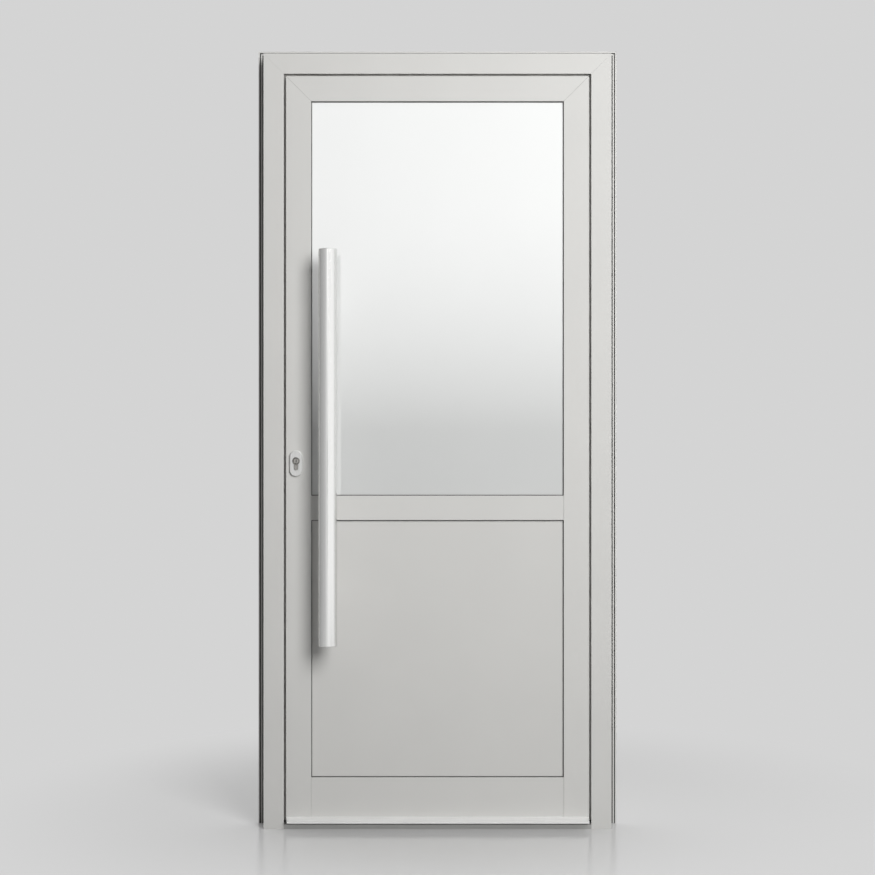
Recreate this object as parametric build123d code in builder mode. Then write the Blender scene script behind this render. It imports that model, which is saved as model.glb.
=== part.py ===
"""Exterior door of powder-coated aluminium: a thermally broken frame and threshold, and one
glazed leaf over an infill panel, with a pull bar outside and barrel hinges inside.

Millimetres. X runs to the right as seen from outside, Y runs into the house and Z runs up.
The origin is at the middle of the frame's depth, on the underside of the threshold.
"""

import os
from build123d import *

# Frame, seen from outside
frame_width = 940
frame_height = 2094
frame_depth = 74
frame_lip_width = 22
frame_body_width = 33
flange_width = 20
flange_thickness = 5
flange_slot_inset = 4
flange_slot_width = 6
flange_groove_inset = 13.5
flange_groove_width = 3
flange_groove_depth = 3

# Frame section, through its depth
shell_depth_outer = 24
shell_depth_inner = 26
frame_lip_depth = 16
frame_lip_rake = 1.5
frame_step = 11
frame_step_thickness = 4
wall = 2
chamber_pitch = 34
edge_radius = 0.8

# Leaf section
face_gap = 6
stile_width = 68
leaf_fin = 17
leaf_fin_thickness = 3
leaf_lip_gap = 6
leaf_lip_thickness = 16
glazing_lip = 22
glazing_lip_thickness = 5
threshold_clearance = 5

# Rails, by height above the floor
bottom_rail_top = 139
mid_rail_bottom = 834
mid_rail_top = 900
top_rail_width = 68

# Thermal break bars, with dovetail feet in the shells' jaws, and seals
bar_thickness = 2.5
bar_inset = 4
foot_depth = 1.8
foot_flare = 1
jaw_wall = 1.5
jaw_depth = 3
seal_gap = 1
seal_width = 6
seal_foot = 1.5
seal_lip = 2
joint_gap = 0.2

# Infills and the beads that hold them
infill_thickness = 32
infill_cover = 14
infill_recess = 8
pane_thickness = 6
spacer_width = 12
sheet_thickness = 2
gasket_reach = 2
bead_gasket = 3
bead_wall = 1.5
bead_bevel = 2

# Threshold and drip rail
threshold_height = 15
threshold_nose = 3
threshold_slope = 6
threshold_break_drop = 2
groove_count = 3
groove_pitch = 4.5
groove_width = 1.5
groove_depth = 0.8
drip_reach = 25
drip_top = 33
drip_fall = 9
drip_wall = 2
drip_roof = 2.2
drip_end_gap = 1
drip_end_bevel = 3

# Pull bar
bar_radius = 25
bar_wall = 2
bar_offset = 49.5
bar_standoff = 75
bar_bottom = 503
bar_top = 1558
bar_end_thickness = 2.5
bar_end_bevel = 1.5
standoff_inset = 150
standoff_radius = 12
rosette_radius = 19
rosette_thickness = 6
bolt_radius = 5
bolt_hole_radius = 7
cap_radius = 16
cap_thickness = 7

# Lock and inside lever
lock_backset = 27.5
plug_z = 993.5
escutcheon_width = 34
escutcheon_height = 70
escutcheon_drop = 6.5
escutcheon_thickness = 7
cover_bevel = 1.5
cover_clearance = 1.2
cylinder_radius = 8.5
cylinder_height = 33
cylinder_fin = 10
cylinder_proud = 3
cylinder_clearance = 0.25
plug_radius = 6.5
plug_length = 30
running_clearance = 0.05
keyway_width = 2.2
keyway_height = 8.5
keyway_depth = 12
faceplate_height = 260
faceplate_thickness = 3
strike_height = 220
bolt_width = 12
dead_bolt_height = 40
dead_bolt_rise = 20
latch_height = 34
strike_margin = 2
plate_width = 32
plate_height = 220
plate_rise = 20
plate_thickness = 8
spindle_rise = 92
lever_radius = 9
lever_reach = 52
lever_length = 125
lever_end_bevel = 1.5

# Hinges
lowest_hinge = 260
middle_hinge = 1040
top_hinge_drop = 304
knuckle_radius = 9
knuckle_root = 4.5
knuckle_height = 40
knuckle_gap = 0.5
hinge_pin_radius = 5
hinge_plate_width = 32
hinge_plate_thickness = 3.5
hinge_plate_gap = 4
hinge_lift = 1
hinge_cap = 4

# Fixing holes through the jambs
fixing_radius = 4
fixing_middle = 1050
fixing_outer_spacing = 1600
fixing_inner_spacing = 600

# Places through the depth
front = -frame_depth / 2
back = frame_depth / 2
outer_shell_back = front + shell_depth_outer
inner_shell_front = back - shell_depth_inner
frame_lip_back = front + frame_lip_depth
leaf_fin_back = outer_shell_back
leaf_fin_front = leaf_fin_back - leaf_fin_thickness
leaf_lip_front = back - leaf_lip_thickness
frame_step_back = inner_shell_front + frame_step_thickness
glazing_lip_back = front + glazing_lip_thickness
infill_front = front + infill_recess
infill_back = infill_front + infill_thickness
bead_front = infill_back + bead_gasket

# Places across the width, measured out from the middle of the door
frame_edge = frame_width / 2
frame_body_edge = frame_edge - frame_body_width
frame_lip_edge = frame_body_edge - frame_lip_width
frame_inner_edge = frame_body_edge + frame_step
flange_edge = frame_edge + flange_width
leaf_face_edge = frame_lip_edge - face_gap
leaf_body_edge = leaf_face_edge + leaf_fin
leaf_lip_edge = frame_inner_edge - leaf_lip_gap
opening_edge = leaf_face_edge - stile_width
stile_body_edge = opening_edge + glazing_lip
infill_edge = opening_edge + infill_cover
bar_x = -(opening_edge - bar_offset)
lock_x = -(leaf_face_edge - lock_backset)

# Heights, and how far the head's section lies above the jambs' turned up
head_rise = frame_height - frame_edge
leaf_bottom = threshold_height + threshold_clearance
glass_top = leaf_face_edge + head_rise - top_rail_width
spindle_z = plug_z + spindle_rise
hinge_heights = (lowest_hinge, middle_hinge, frame_height - top_hinge_drop)
reach = 2 * frame_height

# Section planes: local x runs out from the door's middle or up, local y into the house
right_side = Plane(origin=(0, 0, -reach), x_dir=(1, 0, 0), z_dir=(0, 0, 1))
left_side = Plane(origin=(0, 0, reach), x_dir=(-1, 0, 0), z_dir=(0, 0, -1))
head_side = Plane(origin=(reach, 0, head_rise), x_dir=(0, 0, 1), z_dir=(-1, 0, 0))
upwards = Plane(origin=(reach, 0, 0), x_dir=(0, 0, 1), z_dir=(-1, 0, 0))
downwards = Plane(origin=(-reach, 0, 0), x_dir=(0, 0, -1), z_dir=(1, 0, 0))

# Outlines that cut a member to its length, as corners seen from outside, X then Z
half_joint = joint_gap / 2


def upright(side, bottom):
    """A jamb or stile on side 1 or -1, from a height up to its mitre."""
    mitre = head_rise - half_joint
    return [
        (0, bottom),
        (side * reach, bottom),
        (side * reach, mitre + reach),
        (0, mitre),
    ]


def across():
    """The head or the top rail, between its two mitres."""
    mitre = head_rise + half_joint
    return [(0, mitre), (reach, mitre + reach), (-reach, mitre + reach)]


def between(low_x, high_x, low_z, high_z):
    """A member cut square."""
    return [(low_x, low_z), (high_x, low_z), (high_x, high_z), (low_x, high_z)]


def level(half_width):
    """A level member cut square to a half width."""
    return between(-half_width, half_width, -reach, reach)


def cut_bar(section, outline):
    """A bar of this section, cut to its outline."""
    with BuildPart() as bar:
        extrude(section, amount=2 * reach)
        with BuildSketch(facing(frame_depth)):
            Polygon(*outline, align=None)
        extrude(amount=2 * frame_depth, mode=Mode.INTERSECT)
    return bar.part


def facing(depth):
    """A plane across the door at a depth, with X to the right and Z up, facing outside."""
    return Plane(origin=(0, depth, 0), x_dir=(1, 0, 0), z_dir=(0, -1, 0))


def block(low_x, low_y, high_x, high_y, mode=Mode.ADD):
    """A rectangle between two corners of a section."""
    with Locations(((low_x + high_x) / 2, (low_y + high_y) / 2)):
        Rectangle(high_x - low_x, high_y - low_y, mode=mode)


def chambers(low_x, low_y, high_x, high_y, count):
    """Hollow chambers side by side in a section, with one wall between two of them."""
    width = (high_x - low_x - (count - 1) * wall) / count
    for i in range(count):
        start = low_x + i * (width + wall)
        block(start, low_y, start + width, high_y, mode=Mode.SUBTRACT)


def dovetails(edge, mode=Mode.ADD):
    """The feet of the break bar at an edge, wider where they lie deep in the shells."""
    far_edge = edge + bar_thickness
    outer_foot = outer_shell_back - foot_depth
    inner_foot = inner_shell_front + foot_depth
    Polygon(
        (edge - foot_flare, outer_foot),
        (far_edge + foot_flare, outer_foot),
        (far_edge, outer_shell_back),
        (edge, outer_shell_back),
        align=None,
        mode=mode,
    )
    Polygon(
        (edge, inner_shell_front),
        (far_edge, inner_shell_front),
        (far_edge + foot_flare, inner_foot),
        (edge - foot_flare, inner_foot),
        align=None,
        mode=mode,
    )


def jaws(edges):
    """Thick places in both shells that grip the feet of the break bars at these edges."""
    for edge in edges:
        low = edge - foot_flare - jaw_wall
        high = edge + bar_thickness + foot_flare + jaw_wall
        block(low, outer_shell_back - jaw_depth, high, outer_shell_back)
        block(low, inner_shell_front, high, inner_shell_front + jaw_depth)
        dovetails(edge, Mode.SUBTRACT)


def break_bars(side, edges):
    """The break bars at these edges, from shell to shell."""
    with BuildSketch(side) as section:
        for edge in edges:
            block(edge, outer_shell_back, edge + bar_thickness, inner_shell_front)
            dovetails(edge)
    return section.sketch


def bar_edges(low, high):
    """Where the two break bars of a member stand, set in from its two sides."""
    return (low + bar_inset, high - bar_inset - bar_thickness)


frame_bar_edges = bar_edges(frame_body_edge, frame_edge)
stile_bar_edges = bar_edges(stile_body_edge, leaf_body_edge)


def frame_shells(side):
    """Outer and inner shells of the frame's section, with their chambers."""
    lip_chamber = frame_lip_edge + frame_lip_rake + wall
    with BuildSketch(side) as section:
        with BuildLine():
            Polyline(
                (frame_lip_edge, front),
                (frame_edge, front),
                (frame_edge, outer_shell_back),
                (frame_body_edge, outer_shell_back),
                (frame_body_edge, frame_lip_back),
                (frame_lip_edge + frame_lip_rake, frame_lip_back),
                close=True,
            )
        make_face()
        fillet(
            section.sketch_local.vertices().group_by(Axis.Y)[0],
            radius=edge_radius,
        )
        chambers(lip_chamber, front + wall, frame_body_edge, frame_lip_back - wall, 1)
        chambers(
            frame_body_edge + wall, front + wall, frame_edge - wall, outer_shell_back - wall, 1
        )
        with BuildLine():
            Polyline(
                (frame_body_edge, inner_shell_front),
                (frame_edge, inner_shell_front),
                (frame_edge, back - flange_thickness),
                (flange_edge, back - flange_thickness),
                (flange_edge, back),
                (frame_inner_edge, back),
                (frame_inner_edge, frame_step_back),
                (frame_body_edge, frame_step_back),
                close=True,
            )
        make_face()
        chambers(
            frame_inner_edge + wall, inner_shell_front + wall, frame_edge - wall, back - wall, 2
        )
        for inset, width in (
            (flange_slot_inset, flange_slot_width),
            (flange_groove_inset, flange_groove_width),
        ):
            block(
                frame_edge + inset,
                back - flange_thickness,
                frame_edge + inset + width,
                back - flange_thickness + flange_groove_depth,
                mode=Mode.SUBTRACT,
            )
        jaws(frame_bar_edges)
    return section.sketch


def leaf_shells(side):
    """Outer and inner shells of the stiles and the top rail."""
    with BuildSketch(side) as section:
        with BuildLine():
            Polyline(
                (opening_edge, front),
                (leaf_face_edge, front),
                (leaf_face_edge, leaf_fin_front),
                (leaf_body_edge, leaf_fin_front),
                (leaf_body_edge, leaf_fin_back),
                (stile_body_edge, leaf_fin_back),
                (stile_body_edge, glazing_lip_back),
                (opening_edge, glazing_lip_back),
                close=True,
            )
        make_face()
        fillet(
            section.sketch_local.vertices().group_by(Axis.Y)[0],
            radius=edge_radius,
        )
        body_chamber = stile_body_edge + wall
        chambers(
            body_chamber, front + wall, leaf_face_edge - wall, outer_shell_back - wall, 2
        )
        with BuildLine():
            Polyline(
                (stile_body_edge, inner_shell_front),
                (leaf_body_edge, inner_shell_front),
                (leaf_body_edge, leaf_lip_front),
                (leaf_lip_edge, leaf_lip_front),
                (leaf_lip_edge, back),
                (stile_body_edge, back),
                close=True,
            )
        make_face()
        chambers(body_chamber, inner_shell_front + wall, leaf_body_edge - wall, back - wall, 3)
        chambers(leaf_body_edge, leaf_lip_front + wall, leaf_lip_edge - wall, back - wall, 1)
        jaws(stile_bar_edges)
    return section.sketch


def rail_shells(low, high, low_lip, high_lip):
    """Outer and inner shells of a rail between the stiles, with a glazing lip where asked."""
    body_low = low + low_lip
    body_high = high - high_lip
    with BuildSketch(upwards) as section:
        block(low, front, high, glazing_lip_back)
        fillet(
            section.sketch_local.vertices().group_by(Axis.Y)[0],
            radius=edge_radius,
        )
        block(body_low, glazing_lip_back - wall, body_high, outer_shell_back)
        block(body_low, inner_shell_front, body_high, back)
        count = max(1, round((body_high - body_low) / chamber_pitch))
        chambers(body_low + wall, front + wall, body_high - wall, outer_shell_back - wall, count)
        chambers(body_low + wall, inner_shell_front + wall, body_high - wall, back - wall, count)
        jaws(bar_edges(body_low, body_high))
    return section.sketch


def ring(low_y, high_y, low_z, high_z, half_width, breadth):
    """A rectangular ring round an opening, breadth wide outwards from the opening's edge."""
    height = high_z - low_z
    with BuildPart() as band:
        with BuildSketch(Plane.XZ.offset(-high_y)):
            with Locations((0, (low_z + high_z) / 2)):
                Rectangle(2 * half_width + 2 * breadth, height + 2 * breadth)
                Rectangle(2 * half_width, height, mode=Mode.SUBTRACT)
        extrude(amount=high_y - low_y)
    return band.part


def bead(side, edge):
    """A hollow snap-in bead's section, standing out from an opening's edge."""
    with BuildSketch(side) as section:
        block(edge, bead_front, edge + glazing_lip, back)
        chamfer(
            section.sketch_local.vertices().group_by(Axis.Y)[-1].sort_by(Axis.X)[0],
            length=bead_bevel,
        )
        block(
            edge + bead_wall,
            bead_front + bead_wall,
            edge + glazing_lip - bead_wall,
            back - bead_wall,
            mode=Mode.SUBTRACT,
        )
    return section.sketch


def beads(low_z, high_z):
    """The four beads of one opening: the level ones run through, the upright ones stand between."""
    level_cut = level(stile_body_edge - joint_gap)
    with BuildPart() as set_of_four:
        add(cut_bar(bead(upwards, high_z), level_cut))
        add(cut_bar(bead(downwards, -low_z), level_cut))
        upright_cut = between(-reach, reach, low_z + joint_gap, high_z - joint_gap)
        for side in (right_side, left_side):
            add(cut_bar(bead(side, opening_edge), upright_cut))
    return set_of_four.part


def cylinder_outline(clearance):
    """Outline of a profile cylinder: a round head over a narrow fin with a round foot."""
    foot = plug_z + cylinder_radius - cylinder_height
    with Locations((lock_x, plug_z)):
        Circle(cylinder_radius + clearance)
    fin_half = cylinder_fin / 2 + clearance
    with Locations((lock_x, foot + cylinder_fin / 2)):
        Circle(fin_half)
    with Locations((lock_x, (foot + cylinder_fin / 2 + plug_z) / 2)):
        Rectangle(2 * fin_half, plug_z - foot - cylinder_fin / 2)


def lock_way():
    """The way for the profile cylinder through the leaf, to be cut out."""
    with BuildPart() as way:
        with BuildSketch(facing(back + wall)):
            cylinder_outline(cylinder_clearance)
        extrude(amount=frame_depth + 2 * wall)
    return way.part


low_standoff = bar_bottom + standoff_inset
high_standoff = bar_top - standoff_inset
bar_y = front - bar_standoff


def bolt_way(height):
    """The way for one of the pull bar's bolts through an infill, to be cut out."""
    with BuildPart() as way:
        with BuildSketch(facing(back)):
            with Locations((bar_x, height)):
                Circle(bolt_hole_radius)
        extrude(amount=frame_depth)
    return way.part


# Frame members, mitred at the top
with BuildPart() as left_jamb:
    add(cut_bar(frame_shells(left_side), upright(-1, 0)))

with BuildPart() as right_jamb:
    add(cut_bar(frame_shells(right_side), upright(1, 0)))

with BuildPart() as head:
    add(cut_bar(frame_shells(head_side), across()))

fixing_heights = [
    fixing_middle + sign * spacing / 2
    for spacing in (fixing_outer_spacing, fixing_inner_spacing)
    for sign in (-1, 1)
]
with BuildPart() as frame_thermal_break:
    add(cut_bar(break_bars(left_side, frame_bar_edges), upright(-1, 0)))
    add(cut_bar(break_bars(right_side, frame_bar_edges), upright(1, 0)))
    add(cut_bar(break_bars(head_side, frame_bar_edges), across()))
    with BuildSketch(Plane.YZ.offset(-flange_edge)):
        with Locations(*[((outer_shell_back + inner_shell_front) / 2, z) for z in fixing_heights]):
            Circle(fixing_radius)
    extrude(amount=2 * flange_edge, mode=Mode.SUBTRACT)


def seal_section(side, root_y, tip_y, edge):
    """A seal's foot against the frame, with a lip that leans towards the opening."""
    with BuildSketch(side) as section:
        Polygon(
            (edge, root_y),
            (edge + seal_width, root_y),
            (edge + seal_width, root_y + seal_foot),
            (edge + seal_lip, tip_y),
            (edge, tip_y),
            align=None,
        )
    return section.sketch


def stop_gasket(root_y, leaf_y, edge):
    """A seal on the frame, up both jambs and across the head, its lip just short of the leaf."""
    foot = threshold_height + joint_gap
    tip_y = leaf_y - seal_gap
    with BuildPart() as seal:
        add(cut_bar(seal_section(left_side, root_y, tip_y, edge), upright(-1, foot)))
        add(cut_bar(seal_section(right_side, root_y, tip_y, edge), upright(1, foot)))
        add(cut_bar(seal_section(head_side, root_y, tip_y, edge), across()))
    return seal.part


with BuildPart() as outer_stop_gasket:
    seal_edge = frame_lip_edge + frame_lip_rake + wall
    add(stop_gasket(frame_lip_back, leaf_fin_front, seal_edge))

with BuildPart() as inner_stop_gasket:
    add(stop_gasket(frame_step_back, leaf_lip_front, frame_body_edge + wall))

# Threshold: an outer and an inner shell over a break, notched round the jambs
with BuildPart() as threshold_outer:
    with BuildSketch(Plane.YZ):
        with BuildLine():
            Polyline(
                (front, 0),
                (front, threshold_height - threshold_nose),
                (front + threshold_slope, threshold_height),
                (outer_shell_back, threshold_height),
                (outer_shell_back, 0),
                close=True,
            )
        make_face()
        offset(amount=-wall, kind=Kind.INTERSECTION, mode=Mode.SUBTRACT)
        tread_middle = (front + threshold_slope + outer_shell_back) / 2
        with Locations((tread_middle, threshold_height)):
            with GridLocations(groove_pitch, 0, groove_count, 1):
                Rectangle(groove_width, 2 * groove_depth, mode=Mode.SUBTRACT)
    extrude(amount=frame_body_edge - joint_gap, both=True)
    with BuildSketch(Plane.XY):
        for side in (-1, 1):
            with Locations((side * frame_body_edge, front)):
                Rectangle(
                    2 * (frame_lip_width + joint_gap),
                    2 * (frame_lip_depth + joint_gap),
                )
    extrude(amount=threshold_height, mode=Mode.SUBTRACT)

with BuildPart() as threshold_break:
    with BuildSketch(Plane.YZ):
        block(outer_shell_back, 0, inner_shell_front, threshold_height - threshold_break_drop)
    extrude(amount=frame_body_edge - joint_gap, both=True)

with BuildPart() as threshold_inner:
    with BuildSketch(Plane.YZ):
        block(inner_shell_front, 0, back, threshold_height)
        block(
            inner_shell_front + wall,
            wall,
            back - wall,
            threshold_height - wall,
            mode=Mode.SUBTRACT,
        )
    extrude(amount=frame_inner_edge - joint_gap, both=True)
    with BuildSketch(Plane.XY):
        for side in (-1, 1):
            with Locations((side * frame_inner_edge, inner_shell_front)):
                Rectangle(2 * (frame_step + joint_gap), 2 * (frame_step_thickness + joint_gap))
    extrude(amount=threshold_height, mode=Mode.SUBTRACT)

# Leaf members: stiles and top rail mitred, mid and bottom rails between the stiles
with BuildPart() as lock_stile:
    add(cut_bar(leaf_shells(left_side), upright(-1, leaf_bottom)))
    add(lock_way(), mode=Mode.SUBTRACT)

with BuildPart() as hinge_stile:
    add(cut_bar(leaf_shells(right_side), upright(1, leaf_bottom)))

with BuildPart() as top_rail:
    add(cut_bar(leaf_shells(head_side), across()))


def rail(section):
    """A rail whose body stops at the stiles' bodies and whose face stops at their faces."""
    with BuildPart() as piece:
        add(cut_bar(section, level(stile_body_edge - joint_gap)))
        with BuildSketch(Plane.XY.offset(-reach / 2)):
            for side in (-1, 1):
                with Locations((side * stile_body_edge, front)):
                    Rectangle(
                        2 * (glazing_lip + joint_gap),
                        2 * (glazing_lip_thickness + joint_gap),
                    )
        extrude(amount=2 * reach, mode=Mode.SUBTRACT)
    return piece.part


with BuildPart() as mid_rail:
    add(rail(rail_shells(mid_rail_bottom, mid_rail_top, glazing_lip, glazing_lip)))

with BuildPart() as bottom_rail:
    add(rail(rail_shells(leaf_bottom, bottom_rail_top, 0, glazing_lip)))

with BuildPart() as leaf_thermal_break:
    mid_rail_bars = bar_edges(mid_rail_bottom + glazing_lip, mid_rail_top - glazing_lip)
    bottom_rail_bars = bar_edges(leaf_bottom, bottom_rail_top - glazing_lip)
    rail_cut = level(stile_body_edge - joint_gap)
    add(cut_bar(break_bars(left_side, stile_bar_edges), upright(-1, leaf_bottom)))
    add(cut_bar(break_bars(right_side, stile_bar_edges), upright(1, leaf_bottom)))
    add(cut_bar(break_bars(head_side, stile_bar_edges), across()))
    add(cut_bar(break_bars(upwards, mid_rail_bars), rail_cut))
    add(cut_bar(break_bars(upwards, bottom_rail_bars), rail_cut))
    add(lock_way(), mode=Mode.SUBTRACT)


def infill(front_y, back_y, low_z, high_z):
    """A flat sheet of an infill, between two depths, with its edges under the glazing lips."""
    with BuildPart() as sheet:
        with BuildSketch(facing(back_y)):
            with Locations((0, (low_z + high_z) / 2)):
                Rectangle(2 * infill_edge, high_z - low_z + 2 * infill_cover)
        extrude(amount=back_y - front_y)
    return sheet.part


# Upper infill: sealed double glazing
with BuildPart() as glass_pane_outer:
    add(infill(infill_front, infill_front + pane_thickness, mid_rail_top, glass_top))
    add(bolt_way(high_standoff), mode=Mode.SUBTRACT)

with BuildPart() as glass_pane_inner:
    add(infill(infill_back - pane_thickness, infill_back, mid_rail_top, glass_top))
    add(bolt_way(high_standoff), mode=Mode.SUBTRACT)

with BuildPart() as glass_spacer:
    add(
        ring(
            infill_front + pane_thickness,
            infill_back - pane_thickness,
            mid_rail_top - infill_cover + spacer_width,
            glass_top + infill_cover - spacer_width,
            infill_edge - spacer_width,
            spacer_width,
        )
    )

# Lower infill: two sheets on an insulating core
core_front = infill_front + sheet_thickness
core_back = infill_back - sheet_thickness

with BuildPart() as panel_outer_sheet:
    add(infill(infill_front, core_front, bottom_rail_top, mid_rail_bottom))
    add(bolt_way(low_standoff), mode=Mode.SUBTRACT)

with BuildPart() as panel_core:
    add(infill(core_front, core_back, bottom_rail_top, mid_rail_bottom))
    add(bolt_way(low_standoff), mode=Mode.SUBTRACT)

with BuildPart() as panel_inner_sheet:
    add(infill(core_back, infill_back, bottom_rail_top, mid_rail_bottom))
    add(bolt_way(low_standoff), mode=Mode.SUBTRACT)

# Gaskets and beads
gasket_breadth = gasket_reach + infill_cover


def gaskets(low_z, high_z):
    """The outer and the inner gasket of one infill, standing a little into the opening."""
    outer = (glazing_lip_back, infill_front)
    inner = (infill_back, bead_front)
    with BuildPart() as pair:
        for low_y, high_y in (outer, inner):
            add(
                ring(
                    low_y,
                    high_y,
                    low_z + gasket_reach,
                    high_z - gasket_reach,
                    opening_edge - gasket_reach,
                    gasket_breadth,
                )
            )
    return pair.part


with BuildPart() as glass_gasket:
    add(gaskets(mid_rail_top, glass_top))

with BuildPart() as panel_gasket:
    add(gaskets(bottom_rail_top, mid_rail_bottom))

with BuildPart() as glass_beads:
    add(beads(mid_rail_top, glass_top))

with BuildPart() as panel_beads:
    add(beads(bottom_rail_top, mid_rail_bottom))

# Drip rail over the threshold
with BuildPart() as drip_rail:
    drip_nose = front - drip_reach
    nose_top = drip_top - drip_fall
    wall_fall = drip_wall * drip_fall / drip_reach
    with BuildSketch(Plane.YZ):
        with BuildLine():
            Polyline(
                (front, leaf_bottom),
                (front, drip_top),
                (drip_nose, nose_top),
                (drip_nose, leaf_bottom),
                (drip_nose + drip_wall, leaf_bottom),
                (drip_nose + drip_wall, nose_top + wall_fall - drip_roof),
                (front - drip_wall, drip_top - wall_fall - drip_roof),
                (front - drip_wall, leaf_bottom),
                close=True,
            )
        make_face()
    extrude(amount=leaf_face_edge - drip_end_gap, both=True)
    with BuildSketch(Plane.XY):
        with BuildLine():
            Polyline(
                (-leaf_face_edge, front),
                (-leaf_face_edge, front - 2 * drip_reach),
                (-leaf_face_edge + drip_end_gap + 2 * drip_end_bevel, front - 2 * drip_reach),
                (-leaf_face_edge + drip_end_gap, front),
                close=True,
            )
        make_face()
    extrude(amount=drip_top + wall, mode=Mode.SUBTRACT)

with BuildPart() as bottom_seal:
    seal_middle = (outer_shell_back + inner_shell_front) / 2
    with BuildSketch(Plane.YZ):
        block(
            seal_middle - seal_width,
            threshold_height + seal_gap,
            seal_middle + seal_width,
            leaf_bottom + bar_inset,
        )
    extrude(amount=stile_body_edge - joint_gap, both=True)

# Pull bar: a tube with end discs, on two standoffs bolted through the infills
with BuildPart() as pull_bar:
    with BuildSketch(Plane.XY.offset(bar_bottom + bar_end_thickness)):
        with Locations((bar_x, bar_y)):
            Circle(bar_radius)
            Circle(bar_radius - bar_wall, mode=Mode.SUBTRACT)
    extrude(amount=bar_top - bar_bottom - 2 * bar_end_thickness)

with BuildPart() as pull_bar_ends:
    for end, direction in ((bar_bottom, -1), (bar_top, 1)):
        with BuildSketch(Plane(origin=(bar_x, bar_y, end), z_dir=(0, 0, direction))):
            Circle(bar_radius)
        extrude(amount=-bar_end_thickness)
    rims = pull_bar_ends.edges().filter_by(GeomType.CIRCLE).sort_by(Axis.Z)
    chamfer([rims[0], rims[-1]], length=bar_end_bevel)

with BuildPart() as standoffs:
    for height in (low_standoff, high_standoff):
        seat = Plane(origin=(bar_x, infill_front, height), z_dir=(0, -1, 0))
        with BuildSketch(seat):
            Circle(rosette_radius)
        extrude(amount=rosette_thickness)
        with BuildSketch(seat):
            Circle(standoff_radius)
        extrude(amount=infill_front - bar_y)
    with BuildSketch(Plane.XY.offset(bar_bottom)):
        with Locations((bar_x, bar_y)):
            Circle(bar_radius + running_clearance)
    extrude(amount=bar_top - bar_bottom, mode=Mode.SUBTRACT)

with BuildPart() as pull_bolts:
    for height in (low_standoff, high_standoff):
        inside = Plane(origin=(bar_x, infill_back, height), z_dir=(0, 1, 0))
        with BuildSketch(inside):
            Circle(cap_radius)
        extrude(amount=cap_thickness)
        with BuildSketch(inside):
            Circle(bolt_radius)
        extrude(amount=-infill_thickness)

# Lock: escutcheon and profile cylinder with its turning plug
with BuildPart() as lock_escutcheon:
    with BuildSketch(facing(front)):
        with Locations((lock_x, plug_z - escutcheon_drop)):
            SlotOverall(escutcheon_height, escutcheon_width, rotation=90)
        with BuildSketch(mode=Mode.SUBTRACT):
            cylinder_outline(cover_clearance)
    extrude(amount=escutcheon_thickness)
    face = lock_escutcheon.faces().sort_by(Axis.Y)[0]
    chamfer(face.outer_wire().edges(), length=cover_bevel)

with BuildPart() as lock_cylinder:
    with BuildSketch(facing(back + cylinder_proud)):
        cylinder_outline(0)
    extrude(amount=frame_depth + 2 * cylinder_proud)
    with BuildSketch(facing(front - cylinder_proud + plug_length)):
        with Locations((lock_x, plug_z)):
            Circle(plug_radius + running_clearance)
    extrude(amount=plug_length + wall, mode=Mode.SUBTRACT)

with BuildPart() as cylinder_plug:
    with BuildSketch(facing(front - cylinder_proud + plug_length - wall)):
        with Locations((lock_x, plug_z)):
            Circle(plug_radius)
    extrude(amount=plug_length - wall)
    with BuildSketch(facing(front - cylinder_proud + keyway_depth)):
        with Locations((lock_x, plug_z)):
            Rectangle(keyway_width, keyway_height)
    extrude(amount=keyway_depth, mode=Mode.SUBTRACT)


def edge_plate(seat, height, margin):
    """A plate between the shells, out from its seat, with ways for the latch and dead bolt."""
    middle_y = (outer_shell_back + inner_shell_front) / 2
    lock_middle = plug_z + spindle_rise / 2
    with BuildPart() as plate:
        with BuildSketch(Plane.YZ.offset(-seat - faceplate_thickness)):
            with Locations((middle_y, lock_middle)):
                Rectangle(inner_shell_front - outer_shell_back - 2 * joint_gap, height)
            for z, length in (
                (plug_z + dead_bolt_rise, dead_bolt_height),
                (spindle_z, latch_height),
            ):
                with Locations((middle_y, z)):
                    Rectangle(bolt_width + 2 * margin, length + 2 * margin, mode=Mode.SUBTRACT)
        extrude(amount=faceplate_thickness)
    return plate.part


with BuildPart() as lock_faceplate:
    add(edge_plate(leaf_body_edge - bar_inset, faceplate_height, cylinder_clearance))

with BuildPart() as strike_plate:
    strike_seat = frame_body_edge + bar_inset - faceplate_thickness
    add(edge_plate(strike_seat, strike_height, strike_margin))

with BuildPart() as inside_plate:
    with BuildSketch(facing(back + plate_thickness)):
        with Locations((lock_x, plug_z + spindle_rise / 2 + plate_rise / 2)):
            SlotOverall(plate_height, plate_width, rotation=90)
        with BuildSketch(mode=Mode.SUBTRACT):
            cylinder_outline(cover_clearance)
    extrude(amount=plate_thickness)
    face = inside_plate.faces().sort_by(Axis.Y)[-1]
    chamfer(face.outer_wire().edges(), length=cover_bevel)

with BuildPart() as inside_lever:
    lever_root = back + plate_thickness
    grip_y = lever_root + lever_reach
    with BuildLine():
        Polyline(
            (lock_x, lever_root, spindle_z),
            (lock_x, grip_y, spindle_z),
            (lock_x + lever_length, grip_y, spindle_z),
        )
    with BuildSketch(Plane(origin=(lock_x, lever_root, spindle_z), z_dir=(0, 1, 0))):
        Circle(lever_radius)
    sweep(transition=Transition.RIGHT)
    chamfer(inside_lever.faces().sort_by(Axis.X)[-1].edges(), length=lever_end_bevel)

# Hinges: a frame part with two knuckles, a leaf part with one between, on one pin
hinge_x = (leaf_lip_edge + frame_inner_edge) / 2
hinge_y = back + hinge_plate_thickness + hinge_lift + knuckle_radius
hinge_height = 3 * knuckle_height


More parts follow.
